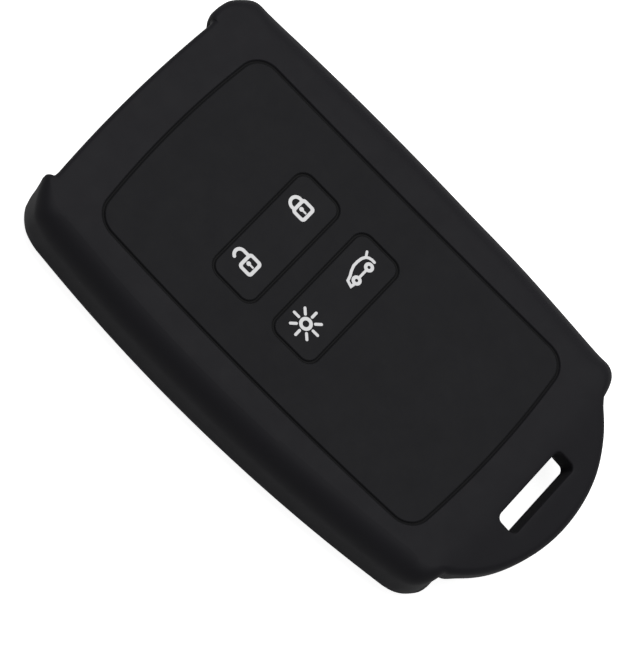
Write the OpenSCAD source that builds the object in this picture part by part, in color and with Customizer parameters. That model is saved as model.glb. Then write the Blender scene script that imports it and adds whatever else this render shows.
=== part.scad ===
// Soft cover for a card-shaped car key fob. It lies on its back, front face up.
// X runs across the cover, Y runs from the lanyard tab to the plain end.
// All lengths are in millimetres.

/* [Body] */
// Length of the body without the tab
body_len = 90.6; // [70:0.1:120]
// Width at the widest place
body_w = 59.3; // [45:0.1:90]
// Thickness from the back to the front face
body_t = 12.8; // [9:0.1:22]
// How far each long side bows out between its ends
side_bow = 2.6; // [0.5:0.1:5]
// How far the widest place sits from the middle, towards the plain end
widest_shift = 6.4; // [0:0.1:9]
// How far each end bows out between its corners
end_bow = 0.6; // [0.2:0.1:3]
// Radius of the corners at the plain end, seen from the front
corner_r = 8.4; // [4:0.1:14]
// Radius of the corners at the tab end
tab_corner_r = 7.2; // [4:0.1:14]

/* [Walls] */
// Thickness of the side walls
wall_t = 2; // [1.2:0.1:3]
// Thickness of the front plate
plate_t = 2; // [1.2:0.1:3]
// Thickness of the lip round the back window
lip_t = 1.8; // [1:0.1:3]
// Width of the back lip along the long sides
lip_side_w = 6.4; // [4:0.1:12]
// Width of the back lip across the ends
lip_end_w = 6; // [3:0.1:12]
// Corner radius of the back window
window_corner_r = 5.5; // [2:0.1:10]

/* [Soft edges] */
// Radius of the front roll-over along the long sides
front_roll_r = 4.5; // [2.4:0.1:5.5]
// Radius of the back roll-over along the long sides
back_roll_r = 4; // [2.4:0.1:5.5]
// Radius of the edges round the ends and corners
end_edge_r = 1.3; // [0.3:0.1:1.8]

/* [Ends] */
// Width of the mouth at the plain end
mouth_w = 37.4; // [20:0.1:44]
// How far the front plate stops short of the plain end
mouth_inset = 0.5; // [0.2:0.1:3]
// How far the front plate bows out in that mouth
mouth_bow = 0.8; // [0.2:0.1:3]
// Radius of the small fillets where the plate meets the ears
ear_fillet_r = 0.9; // [0.3:0.1:2]
// Width of the mouth at the tab end
tab_mouth_w = 42.8; // [24:0.1:46]

/* [Lanyard tab] */
// How far the tab stands out past the body
tab_out = 9; // [7:0.1:16]
// Radius of the tab's round outline
tab_arc_r = 29.6; // [22:0.1:45]
// Thickness of the tab
tab_t = 4; // [2:0.1:6]
// How far the tab slopes down from the front face, in degrees
tab_tilt = 11.5; // [0:0.5:20]
// Radius of the tab's edges
tab_edge_r = 1.2; // [0.3:0.1:1.8]
// Length of the lanyard slot
slot_len = 17; // [8:0.1:24]
// Width of the lanyard slot
slot_w = 4.3; // [2:0.1:5]
// Corner radius of the slot
slot_corner_r = 1.1; // [0.3:0.1:1.9]
// Distance from the slot to the tip of the tab
slot_tip_wall = 5.9; // [3:0.1:7]

/* [Front panel] */
// Width of the border beside the panel, to the middle of the groove
border_side_w = 8.5; // [5:0.1:14]
// Width of the border at the panel's ends, to the middle of the groove
border_end_w = 8.6; // [6:0.1:14]
// How far each long side of the panel bows out
panel_side_bow = 0.35; // [0.1:0.05:2]
// How far each end of the panel bows out
panel_end_bow = 1.3; // [0.2:0.1:3]
// Corner radius of the panel
panel_corner_r = 4.2; // [2:0.1:8]
// How far the panel sits off the middle of the body, towards the tab
panel_shift = 0.4; // [0:0.1:2]
// Width of the groove round the panel
panel_groove_w = 0.6; // [0.2:0.05:1.2]
// Depth of the groove round the panel
panel_groove_d = 0.5; // [0.2:0.05:0.8]
// Width of the ledge that carries the panel
ledge_w = 1.6; // [0.8:0.1:3]
// Thickness of the ledge that carries the panel
ledge_t = 0.8; // [0.5:0.1:1.2]

/* [Key pads] */
// Width of a pad with its two keys, to the middle of the groove
pad_w = 24.2; // [16:0.1:30]
// Length of a pad along the body, to the middle of the groove
pad_len = 9.3; // [6:0.1:12]
// Corner radius of a pad
pad_corner_r = 2.1; // [1:0.1:4]
// Distance from the middle of the panel to the upper pad's centre
upper_pad_y = 12.7; // [9:0.1:18]
// Distance between the centres of the two pads
pad_pitch = 13.6; // [11:0.1:20]
// Width of the groove round a pad
pad_groove_w = 0.5; // [0.2:0.05:1]
// Depth of the groove round a pad, down to the flexing web
pad_groove_d = 0.6; // [0.2:0.05:1]
// Thickness of the flexing web in the pad groove
web_t = 0.5; // [0.3:0.05:0.8]
// Gap between the two keys of one pad
key_gap = 0.2; // [0.05:0.05:0.6]
// Radius of the nub under each key that presses the fob's own button
nub_r = 2.2; // [1:0.1:3]
// How far the nub stands below the front plate
nub_h = 0.4; // [0.2:0.05:1]
// Distance of each key's centre from the middle of the pad
key_x = 6.7; // [4:0.1:9]

/* [Fits] */
// Clearance between the panel and the sleeve that carries it
seat_gap = 0.05; // [0.02:0.01:0.2]
// Clearance on each side of a flexing web
web_gap = 0.03; // [0.02:0.01:0.1]

/* [Hidden] */
$fn = 240;
// Overrun of a cut past the face it opens
over = 1;
// How far a sweep along a side or an end runs on past the corners, as a share of its length
run_on_share = 1.4;

soft_black = [0.15, 0.15, 0.16];
panel_black = [0.2, 0.2, 0.21];
key_black = [0.27, 0.27, 0.29];
web_black = [0.42, 0.42, 0.45];

half_w = body_w / 2;
half_len = body_len / 2;
plate_z = body_t - plate_t;

// Radius of the arc that spans half a chord with the given bow
function arc_r(half, bow) = (half * half + bow * bow) / (2 * bow);

// Centre of the corner arc that is tangent to a long side's arc and an end's arc
function corner_at(hw, hl, rs, re, rc) =
  let (
    p = hw - rs,
    q = hl - re,
    far = sqrt(p * p + q * q),
    ds = rs - rc,
    de = re - rc,
    along = (far * far + ds * ds - de * de) / (2 * far),
    off = sqrt(ds * ds - along * along)
  )
  [p - p / far * along - q / far * off, q / far * along - p / far * off];

side_r = arc_r(half_len, side_bow);
end_r = arc_r(half_w, end_bow);

// The ears stand furthest out at the edges of the mouth
ear_tip = half_len - end_r + sqrt(end_r * end_r - mouth_w * mouth_w / 4);
overall_len = tab_out + half_len + ear_tip;
body_y = overall_len / 2 - ear_tip;

panel_w = body_w - 2 * border_side_w;
panel_len = body_len - 2 * border_end_w;
panel_y = body_y - panel_shift;
pad_y = [panel_y + upper_pad_y, panel_y + upper_pad_y - pad_pitch];
ledge_z = plate_z + ledge_t;
groove_z = body_t - panel_groove_d;
web_z = body_t - pad_groove_d - web_t;

tab_tip_y = -overall_len / 2;
tab_root_y = body_y - half_len + wall_t;
tab_reach = (tab_root_y - tab_tip_y + tab_edge_r * sin(tab_tilt)) / cos(tab_tilt);

mouth_edge_r = arc_r(mouth_w / 2, mouth_bow);

module round_corners(x, y, r) {
  for (sx = [-1, 1]) {
    for (sy = [-1, 1]) {
      translate([sx * x, sy * y]) {
        circle(r = r);
      }
    }
  }
}

// The two points where a corner arc meets the side's arc and the end's arc, each drawn in by inset
function meets(at, hw, hl, rs, re, inset) =
  let (
    a1 = atan2(at[1], at[0] - hw + rs),
    a2 = atan2(at[1] - hl + re, at[0])
  )
  [
    [hw - rs + (rs - inset) * cos(a1), (rs - inset) * sin(a1)],
    [(re - inset) * cos(a2), hl - re + (re - inset) * sin(a2)]
  ];

// Outline with bowed sides, bowed ends and tangent round corners, drawn in by inset.
// Its sides are widest at zero, hi from the far end and lo from the near one, which have corners rhi and rlo.
module bowed_outline(hw, hi, lo, side_b, end_b, rhi, rlo, inset) {
  rs = arc_r((hi + lo) / 2, side_b);
  re = arc_r(hw, end_b);
  at = corner_at(hw, hi, rs, re, rhi);
  low = corner_at(hw, lo, rs, re, rlo);
  p = meets(at, hw, hi, rs, re, inset);
  q = meets(low, hw, lo, rs, re, inset);
  out_x = hw + over;
  out_hi = hi + over;
  out_lo = lo + over;
  intersection() {
    translate([hw - rs, 0]) {
      circle(r = rs - inset);
    }
    translate([rs - hw, 0]) {
      circle(r = rs - inset);
    }
    translate([0, hi - re]) {
      circle(r = re - inset);
    }
    translate([0, re - lo]) {
      circle(r = re - inset);
    }
    polygon([
      [out_x, -q[0][1]], [out_x, p[0][1]], [p[0][0], p[0][1]], [p[1][0], p[1][1]],
      [p[1][0], out_hi], [-p[1][0], out_hi], [-p[1][0], p[1][1]], [-p[0][0], p[0][1]],
      [-out_x, p[0][1]], [-out_x, -q[0][1]], [-q[0][0], -q[0][1]], [-q[1][0], -q[1][1]],
      [-q[1][0], -out_lo], [q[1][0], -out_lo], [q[1][0], -q[1][1]], [q[0][0], -q[0][1]]
    ]);
  }
  for (side = [-1, 1]) {
    translate([side * at[0], at[1]]) {
      circle(r = rhi - inset);
    }
    translate([side * low[0], -low[1]]) {
      circle(r = rlo - inset);
    }
  }
}

// The body's outline, or that of an opening in it whose edge is in by side_in and end_in
module body_shape(side_in, end_in, rhi, rlo, inset) {
  translate([0, widest_shift]) {
    bowed_outline(
      half_w - side_in,
      half_len - end_in - widest_shift,
      half_len - end_in + widest_shift,
      side_bow, end_bow, rhi, rlo, inset
    );
  }
}

module body_outline(inset) {
  body_shape(0, 0, corner_r, tab_corner_r, inset);
}

module panel_outline(inset) {
  bowed_outline(
    panel_w / 2, panel_len / 2, panel_len / 2,
    panel_side_bow, panel_end_bow, panel_corner_r, panel_corner_r, inset
  );
}

module round_rect(w, l, r) {
  square([w - 2 * r, l], center = true);
  square([w, l - 2 * r], center = true);
  round_corners(w / 2 - r, l / 2 - r, r);
}

// What a round edge of radius r leaves outside, for a wall at radius arc under a top face at zero
module edge_profile(arc, r) {
  difference() {
    translate([arc - r, -r]) {
      square([r + over, r + over]);
    }
    translate([arc - r, -r]) {
      circle(r = r);
    }
  }
}

// Cross-section through one side, from far inside out to its wall with rounded front and back edges
module edge_bar(arc, across, inset, low, high, back_r, front_r) {
  difference() {
    translate([arc - across - over, low]) {
      square([across + over - inset, high - low]);
    }
    translate([0, high]) {
      edge_profile(arc - inset, front_r);
    }
    translate([0, low]) {
      mirror([0, 1]) {
        edge_profile(arc - inset, back_r);
      }
    }
  }
}

// Space between the two long sides, each swept along its own bowed arc
module between_sides(inset, low, high, back_r, front_r) {
  sweep = run_on_share * asin((half_len + widest_shift) / side_r);
  translate([0, widest_shift, 0]) {
    intersection_for (turn = [0, 180]) {
      rotate([0, 0, turn]) {
        translate([half_w - side_r, 0, 0]) {
          rotate_extrude(angle = 2 * sweep, start = -sweep) {
            edge_bar(side_r, body_w, inset, low, high, back_r, front_r);
          }
        }
      }
    }
  }
}

// Space between the two ends, each swept along its own bowed arc
module between_ends(low, high, edge_r) {
  sweep = run_on_share * asin(half_w / end_r);
  intersection_for (turn = [0, 180]) {
    rotate([0, 0, turn]) {
      translate([0, half_len - end_r, 0]) {
        rotate_extrude(angle = 2 * sweep, start = 90 - sweep) {
          edge_bar(end_r, body_len, 0, low, high, edge_r, edge_r);
        }
      }
    }
  }
}

module body_block() {
  intersection() {
    linear_extrude(body_t) {
      body_outline(0);
    }
    between_sides(0, 0, body_t, back_roll_r, front_roll_r);
    between_ends(0, body_t, end_edge_r);
  }
}

module card_space() {
  intersection() {
    translate([0, 0, lip_t]) {
      linear_extrude(plate_z - lip_t) {
        body_outline(wall_t);
      }
    }
    between_sides(wall_t, lip_t, plate_z, back_roll_r - wall_t, front_roll_r - plate_t);
  }
}

module back_window() {
  translate([0, 0, -over]) {
    linear_extrude(lip_t + 2 * over) {
      body_shape(lip_side_w, lip_end_w, window_corner_r, window_corner_r, 0);
    }
  }
}

// Outline of what is cut away beyond the front plate's edge between the two ears
module mouth_edge_outline() {
  difference() {
    translate([-mouth_w / 2, half_len - wall_t - mouth_bow]) {
      square([mouth_w, wall_t + mouth_bow + over]);
    }
    translate([0, half_len - mouth_inset - mouth_edge_r]) {
      circle(r = mouth_edge_r);
    }
    for (side = [-1, 1]) {
      difference() {
        translate([side * mouth_w / 2 - ear_fillet_r, half_len - mouth_inset - mouth_bow - over]) {
          square([2 * ear_fillet_r, ear_fillet_r + over]);
        }
        translate([side * (mouth_w / 2 - ear_fillet_r), half_len - mouth_inset - mouth_bow + ear_fillet_r]) {
          circle(r = ear_fillet_r);
        }
      }
    }
  }
}

module plain_mouth() {
  translate([0, 0, lip_t]) {
    linear_extrude(plate_z - lip_t) {
      translate([-mouth_w / 2, half_len - wall_t - over]) {
        square([mouth_w, wall_t + 2 * over]);
      }
    }
  }
  translate([0, 0, lip_t]) {
    linear_extrude(body_t - lip_t + over) {
      mouth_edge_outline();
    }
  }
}

// Opens the wall under the tab and clears the front plate where the tab takes its place
module tab_mouth() {
  translate([-tab_mouth_w / 2, -half_len - over, lip_t]) {
    cube([tab_mouth_w, wall_t + end_bow + over, plate_z - lip_t]);
  }
  translate([-tab_mouth_w / 2, -half_len - over, lip_t]) {
    cube([tab_mouth_w, wall_t + over, body_t - lip_t + over]);
  }
}

module panel_pocket() {
  translate([0, 0, ledge_z]) {
    linear_extrude(body_t - ledge_z + over) {
      panel_outline(-panel_groove_w / 2);
    }
  }
  translate([0, 0, plate_z - over]) {
    linear_extrude(ledge_t + 2 * over) {
      panel_outline(ledge_w - panel_groove_w / 2);
    }
  }
}

module sleeve() {
  color(soft_black) {
    difference() {
      translate([0, body_y, 0]) {
        difference() {
          body_block();
          card_space();
          back_window();
          plain_mouth();
          tab_mouth();
        }
      }
      translate([0, panel_y, 0]) {
        panel_pocket();
      }
    }
  }
}

module pad_hole() {
  for (y = pad_y) {
    translate([0, y, plate_z - over]) {
      linear_extrude(plate_t + 2 * over) {
        round_rect(pad_w + pad_groove_w, pad_len + pad_groove_w, pad_corner_r + pad_groove_w / 2);
      }
    }
  }
}

module front_panel() {
  color(panel_black) {
    difference() {
      translate([0, panel_y, 0]) {
        translate([0, 0, plate_z]) {
          linear_extrude(body_t - plate_z) {
            panel_outline(ledge_w - panel_groove_w / 2 + seat_gap);
          }
        }
        translate([0, 0, ledge_z]) {
          linear_extrude(groove_z - ledge_z) {
            panel_outline(seat_gap - panel_groove_w / 2);
          }
        }
        translate([0, 0, ledge_z]) {
          linear_extrude(body_t - ledge_z) {
            panel_outline(panel_groove_w / 2);
          }
        }
      }
      pad_hole();
    }
  }
}

// The tab before it slopes: its top face at zero and its root at the origin
module flat_tab() {
  intersection() {
    translate([0, tab_arc_r - tab_reach, 0]) {
      rotate_extrude() {
        difference() {
          translate([0, -tab_t]) {
            square([tab_arc_r, tab_t]);
          }
          edge_profile(tab_arc_r, tab_edge_r);
          translate([0, -tab_t]) {
            mirror([0, 1]) {
              edge_profile(tab_arc_r, tab_edge_r);
            }
          }
        }
      }
    }
    translate([-tab_mouth_w / 2 + seat_gap, -tab_reach - over, -tab_t - over]) {
      cube([tab_mouth_w - 2 * seat_gap, tab_reach + 2 * over, tab_t + 2 * over]);
    }
  }
}

module lanyard_slot() {
  translate([0, slot_tip_wall + slot_w / 2 - tab_reach, -tab_t - over]) {
    linear_extrude(tab_t + 2 * over) {
      round_rect(slot_len, slot_w, slot_corner_r);
    }
  }
}

module lanyard_tab() {
  color(soft_black) {
    intersection() {
      translate([0, tab_root_y, body_t]) {
        rotate([tab_tilt, 0, 0]) {
          difference() {
            flat_tab();
            lanyard_slot();
          }
        }
      }
      translate([-body_w / 2, tab_tip_y - over, 0]) {
        cube([body_w, tab_root_y - tab_tip_y + over, body_t]);
      }
    }
  }
}

// Half of a pad outline: side is 1 for the key towards +X and -1 for the other
module half_pad(side, grow, gap) {
  intersection() {
    round_rect(pad_w + 2 * grow, pad_len + 2 * grow, pad_corner_r + grow);
    translate([side > 0 ? gap / 2 : -pad_w, -pad_len]) {
      square([pad_w - gap / 2, 2 * pad_len]);
    }
  }
}

module key(row, side) {
  translate([0, pad_y[row], 0]) {
    translate([0, 0, plate_z]) {
      linear_extrude(plate_t) {
        half_pad(side, -pad_groove_w / 2, key_gap);
      }
    }
    translate([side * key_x, 0, plate_z - nub_h]) {
      cylinder(r = nub_r, h = nub_h);
    }
  }
}

module web(row, side) {
  translate([0, pad_y[row], web_z]) {
    linear_extrude(web_t) {
      difference() {
        half_pad(side, pad_groove_w / 2 - web_gap, key_gap);
        round_rect(
          pad_w - pad_groove_w + 2 * web_gap,
          pad_len - pad_groove_w + 2 * web_gap,
          pad_corner_r - pad_groove_w / 2 + web_gap
        );
      }
    }
  }
}

module lock_key() {
  color(key_black) {
    key(0, 1);
  }
}

module unlock_key() {
  color(key_black) {
    key(0, -1);
  }
}

module boot_key() {
  color(key_black) {
    key(1, 1);
  }
}

module light_key() {
  color(key_black) {
    key(1, -1);
  }
}

module lock_web() {
  color(web_black) {
    web(0, 1);
  }
}

module unlock_web() {
  color(web_black) {
    web(0, -1);
  }
}

module boot_web() {
  color(web_black) {
    web(1, 1);
  }
}

module light_web() {
  color(web_black) {
    web(1, -1);
  }
}

sleeve();
front_panel();
lanyard_tab();
lock_key();
unlock_key();
boot_key();
light_key();
lock_web();
unlock_web();
boot_web();
light_web();
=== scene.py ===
import math
from collections import namedtuple

import bmesh
import bpy
import numpy as np
from mathutils import Matrix, Vector
from mathutils.geometry import delaunay_2d_cdt


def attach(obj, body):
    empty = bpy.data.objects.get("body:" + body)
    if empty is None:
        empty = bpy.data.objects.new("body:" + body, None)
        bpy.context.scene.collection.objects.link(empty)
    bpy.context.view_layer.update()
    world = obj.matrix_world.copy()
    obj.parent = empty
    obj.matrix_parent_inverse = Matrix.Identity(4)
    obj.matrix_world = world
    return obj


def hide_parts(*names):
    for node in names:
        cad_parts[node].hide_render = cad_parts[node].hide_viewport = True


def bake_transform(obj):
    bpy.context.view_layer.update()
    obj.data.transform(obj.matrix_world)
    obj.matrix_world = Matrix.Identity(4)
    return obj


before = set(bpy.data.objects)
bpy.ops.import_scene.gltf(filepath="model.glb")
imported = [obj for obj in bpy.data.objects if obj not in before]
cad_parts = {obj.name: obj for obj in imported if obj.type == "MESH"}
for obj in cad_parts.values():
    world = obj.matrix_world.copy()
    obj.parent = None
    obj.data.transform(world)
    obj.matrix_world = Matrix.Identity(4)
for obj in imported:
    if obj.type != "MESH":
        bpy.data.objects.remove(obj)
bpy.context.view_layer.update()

# Sizes of the body in millimetres, as in the source of the solids
MM = 0.001
T = 12.8
HALF_W = 29.60
HALF_L = 45.3
SIDE_BOW = 2.6
END_BOW = 0.6
CORNER_R = 8.4
TAB_CORNER_R = 7.2
WIDEST_SHIFT = 6.4
WALL_T = 2.0
PLATE_T = 2.0
LIP_T = 1.8
PLATE_Z = T - PLATE_T
LIP_SIDE_W = 6.4
LIP_END_W = 6.0
WINDOW_R = 5.5
ROLL_TOP = 4.5
ROLL_BACK = 4.0
ROLL_END = 1.3

# The plain end, with its mouth between two ears
MOUTH_X = 19.2
MOUTH_INSET = 0.5
MOUTH_BOW = 0.8
NOTCH_R = 0.5

# The tab, its slope and its slot, which is a little smaller than in the solids
TAB_R = 29.6
TAB_X = 21.35
TAB_T = 4.08
TAB_EDGE = 1.2
TILT = math.radians(11.5)
SLOT_L = 16.4
SLOT_W = 4.15
SLOT_R = 1.1

# Places along the cover
BODY_Y = 4.6193
PANEL_Y = 4.2193
TIP_Y = -49.68
ROOT_Y = -38.68
SLOT_Y = -42.03
PAD_Y = (16.919, 3.319)

# The panel and the pads, as half widths and half lengths, and what lies under them
PANEL_W = 21.15
PANEL_L = 36.7
PANEL_SIDE_BOW = 0.35
PANEL_END_BOW = 1.3
PANEL_R = 4.2
PAD_W = 12.1
PAD_L = 4.65
PAD_R = 2.1
LEDGE_W = 1.3
LEDGE_Z = T - 0.62
WEB_Z = T - 1.1
NUB_R = 2.2
NUB_H = 0.4
NUB_EDGE = 0.15
KEY_X = 6.7
KEY_TOP = T - 0.04

# Small roundings and soft details of the visual model
BEND = 0.975
MOUTH_ROLL = 0.9
MOUTH_EDGE = 0.55
LIP_EDGE = 0.4
WINDOW_EDGE = 0.5
SLOT_EDGE = 0.35
INNER_END_R = 0.3
LIP_INSET = 1.25
NOSE_W = 1.1
NOSE_GAP = 0.25
ROOT_SOFT = 0.8

# The grooves: half the floor's width, the width of a shoulder and the depth
GROOVE = 0.10
EDGE = 0.32
DEPTH = 0.30
KEY_GROOVE = 0.10
KEY_EDGE = 0.31
KEY_DEPTH = 0.32
# Shares of a shoulder's width from the face; the first is a flat row outside it, for even shading
SHOULDER_SHARES = np.append(-.14, np.linspace(0, 1, 8))

Path = namedtuple("Path", "points normals kind")


# Soft steps and outlines
def smooth(t):
    t = np.clip(t, 0, 1)
    return t * t * (3 - 2 * t)


def rise(value, start, length):
    """0 up to the start, then softly up to 1 over the length."""
    return smooth((value - start) / length)


def fall(value, start, length):
    """1 up to the start, then softly down to 0 over the length."""
    return 1 - rise(value, start, length)


def arc_radius(half, bow):
    return (half * half + bow * bow) / (2 * bow)


def arc_height(x, r):
    return np.sqrt(r ** 2 - x ** 2)


def corner_centre(half_w, half_l, side_r, end_r, corner_r):
    """Centre of the circle that touches the side's arc and the end's arc from inside."""
    p, q = half_w - side_r, half_l - end_r
    far = math.hypot(p, q)
    to_side, to_end = side_r - corner_r, end_r - corner_r
    along = (far * far + to_side * to_side - to_end * to_end) / (2 * far)
    off = math.sqrt(to_side * to_side - along * along)
    return p - p / far * along - q / far * off, q / far * along - p / far * off


def quarter(half_w, half_l, side_r, end_bow, corner_r, side_n, corner_n, end_xs=None, meet_x=None):
    """Path from the +X side's widest place to the +Y end's middle; kind is 0 on the side and 1 on the end.

    The end has its points at end_xs, where those are given, and one point of the corner moves to meet_x.
    """
    end_n, least_step = 20, .05
    end_r = arc_radius(half_w, end_bow)
    cx, cy = corner_centre(half_w, half_l, side_r, end_r, corner_r)
    turn_1 = math.atan2(cy, cx - half_w + side_r)
    turn_2 = math.atan2(cy - half_l + end_r, cx)
    side = np.linspace(0, turn_1, side_n, endpoint=False)
    corner = np.linspace(turn_1, turn_2, corner_n, endpoint=False)
    if meet_x:
        meet = math.acos((meet_x - cx) / corner_r)
        corner[np.argmin(np.abs(corner - meet))] = meet
    last_x = end_r * math.cos(turn_2)
    if end_xs is None:
        xs = np.linspace(last_x, 0, end_n)
    else:
        xs = np.array([last_x] + [x for x in end_xs if x < last_x - least_step])
    end = np.arccos(xs / end_r)
    points = [
        np.stack([half_w - side_r + side_r * np.cos(side), side_r * np.sin(side)], 1),
        np.stack([cx + corner_r * np.cos(corner), cy + corner_r * np.sin(corner)], 1),
        np.stack([end_r * np.cos(end), half_l - end_r + end_r * np.sin(end)], 1),
    ]
    turn = np.concatenate([side, corner, end])
    # the kind starts to grow on the last stretch of the side
    early, early_kind = .93, .08
    on_side = np.clip((side / turn_1 - early) / (1 - early), 0, 1) * early_kind
    on_corner = early_kind + (1 - early_kind) * (corner - turn_1) / (turn_2 - turn_1)
    kind = np.concatenate([on_side, on_corner, np.ones(len(end))])
    return Path(np.concatenate(points), np.stack([np.cos(turn), np.sin(turn)], 1), kind)


def closed(high, low):
    """Points and normals of a whole loop, counterclockwise, from a quarter at each end."""
    points, normals = [], []
    for sx, sy, step in ((1, 1, 1), (-1, 1, -1), (-1, -1, 1), (1, -1, -1)):
        path = high if sy > 0 else low
        points.append((path.points * [sx, sy])[::step][:-1])
        normals.append((path.normals * [sx, sy])[::step][:-1])
    return np.concatenate(points), np.concatenate(normals)


def round_rect(half_w, half_l, r, corner_n, side_n):
    """Points and normals of a rounded rectangle, counterclockwise from the upper end of the +X side."""
    points, normals = [], []
    corners = [(sx * (half_w - r), sy * (half_l - r)) for sx, sy in ((1, 1), (-1, 1), (-1, -1), (1, -1))]
    for k, (cx, cy) in enumerate(corners):
        next_x, next_y = corners[(k + 1) % 4]
        last = (k + 1) * math.pi / 2
        unit = (math.cos(last), math.sin(last))
        for turn in np.linspace(0, math.pi / 2, corner_n) + k * math.pi / 2:
            points.append((cx + r * math.cos(turn), cy + r * math.sin(turn)))
            normals.append((math.cos(turn), math.sin(turn)))
        start = np.array(points[-1])
        end = np.array((next_x + r * unit[0], next_y + r * unit[1]))
        for share in np.linspace(0, 1, side_n)[1:-1]:
            points.append(tuple(start + (end - start) * share))
            normals.append(unit)
    return np.array(points), np.array(normals)


def circle(x, y, r, n=36):
    turn = np.linspace(0, 2 * math.pi, n, endpoint=False)
    return np.stack([x + r * np.cos(turn), y + r * np.sin(turn)], 1)


def lift(points, z):
    points = np.asarray(points, float)
    return np.column_stack([points, np.broadcast_to(z, len(points))])


def level(z):
    """A height function that is z everywhere."""
    return lambda x, y: np.full(len(x), z)


def whole(right):
    """The whole loop from its right half, whose first and last points are on the middle plane."""
    left = right[::-1][1:-1] * np.array([-1] + [1] * (right.shape[1] - 1))
    return np.concatenate([right, left])


def unit_rows(vectors):
    return vectors / np.linalg.norm(vectors, axis=1)[:, None]


def rounding(n):
    """Shares of a radius for n rows from a face into a wall: how far off the wall, how far off the face."""
    return [(1 - math.sin(q), 1 - math.cos(q)) for q in np.linspace(0, math.pi / 2, n)]


def fillet(points, normals, r, face, side, shares, inset=0):
    """Rows of a rounding between a face and a wall that stands in from the points by inset.

    The face is a height or a height function, and the wall lies above it where side is 1, below where -1.
    """
    r = np.broadcast_to(r, len(points))
    rows = []
    for off_wall, off_face in shares:
        xy = points - normals * (inset + r * off_wall)[:, None]
        z = face(*xy.T) if callable(face) else face
        rows.append(lift(xy, z + side * r * off_face))
    return rows


def shoulder(points, normals, gap, edge, top, depth):
    """Rows from a face at top, on the normals' side of the points, softly down into a groove."""
    rows = []
    for q in SHOULDER_SHARES:
        rows.append(lift(points + normals * (gap + edge * (1 - q)), top - depth * smooth(q)))
    return rows


# How the soft cover lies in the photo; pairs are a start and a length
PADS_FADE_X = (12.6, 4)
PADS_FADE_Y = (12.5, 6)
PADS_MID_Y = 10.1
PADS_DOWN = .12
ROWS_FADE_Y = (37.2, 5)
LEFT_BY_X = ((-29, -24.5, -21.2, -16, 14, 21.2, 25, 29), (0, .02, .1, .5, .55, .45, .2, 0))


def bend(y):
    """How far towards +X of the middle the bend takes a place."""
    return BEND * ((y - PANEL_Y) / HALF_L) ** 2


def settle(points):
    """What lies inside the groove sits a little towards -X, and then the whole bends in its plane."""
    p = points.copy()
    pads = fall(np.abs(p[:, 0]), *PADS_FADE_X) * fall(np.abs(p[:, 1] - PADS_MID_Y), *PADS_FADE_Y)
    rows = fall(np.abs(p[:, 1] - PANEL_Y), *ROWS_FADE_Y)
    p[:, 1] -= PADS_DOWN * pads
    p[:, 0] -= np.interp(p[:, 0], *LEFT_BY_X) * rows
    p[:, 0] += bend(p[:, 1])
    return p


def groove_shade(points):
    """Painted shade, darkening the colour: 1 on the floors of the front face's grooves, 0 elsewhere."""
    from_depth, over_depth, deepest = .12, .16, 1
    half_w, half_l = 22.2, 37.8
    x, y, deep = np.abs(points[:, 0]), np.abs(points[:, 1] - PANEL_Y), T - points[:, 2]
    return rise(deep, from_depth, over_depth) * (deep < deepest) * (x < half_w) * (y < half_l)


# Meshes
def inside(points, loop):
    """Which of the points lie in the loop, by how often a ray from each crosses it."""
    tiny = 1e-30
    a, b = loop, np.roll(loop, -1, 0)
    x, y = points[:, 0][:, None], points[:, 1][:, None]
    spans = (a[:, 1] > y) != (b[:, 1] > y)
    crossing_x = (b[:, 0] - a[:, 0]) * (y - a[:, 1]) / (b[:, 1] - a[:, 1] + tiny) + a[:, 0]
    return (spans & (x < crossing_x)).sum(1) % 2 == 1


def inside_only(points, outline, holes):
    """Which of the points lie in the outline and in none of its holes."""
    ok = inside(points, outline)
    for hole in holes:
        ok &= ~inside(points, hole)
    return ok


def triangulate(points, loops):
    """Triangles on the points that keep the loops' edges: their corners, their faces and their middles."""
    nearness = 1e-5
    edges, start = [], 0
    for loop in loops:
        edges += [(start + i, start + (i + 1) % len(loop)) for i in range(len(loop))]
        start += len(loop)
    corners, _, faces, _, _, _ = delaunay_2d_cdt([Vector(p) for p in points], edges, [], 0, nearness)
    corners = np.array([(p.x, p.y) for p in corners])
    middles = np.array([corners[list(f)].mean(0) for f in faces])
    return corners, faces, middles


def spot(point):
    """The place of a point, rounded so that two ways to the same point agree."""
    digits = 5
    return round(point[0], digits), round(point[1], digits)


def add_points(points, flat, step, where):
    """The points and, where asked, a triangular grid between the loops, none too near to the points."""
    row_share, near_share = .866, .55
    low, high = points.min(0), points.max(0)
    xs, ys = np.meshgrid(np.arange(low[0], high[0], step), np.arange(low[1], high[1], step * row_share))
    xs[1::2] += step / 2
    grid = np.stack([xs.ravel(), ys.ravel()], 1)
    if where:
        grid = grid[where(grid)]
    grid = grid[inside_only(grid, flat[0], flat[1:])]
    nearest = np.array([np.min(((points - q) ** 2).sum(1)) for q in grid])
    return np.concatenate([points, grid[nearest > (near_share * step) ** 2]])


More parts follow.
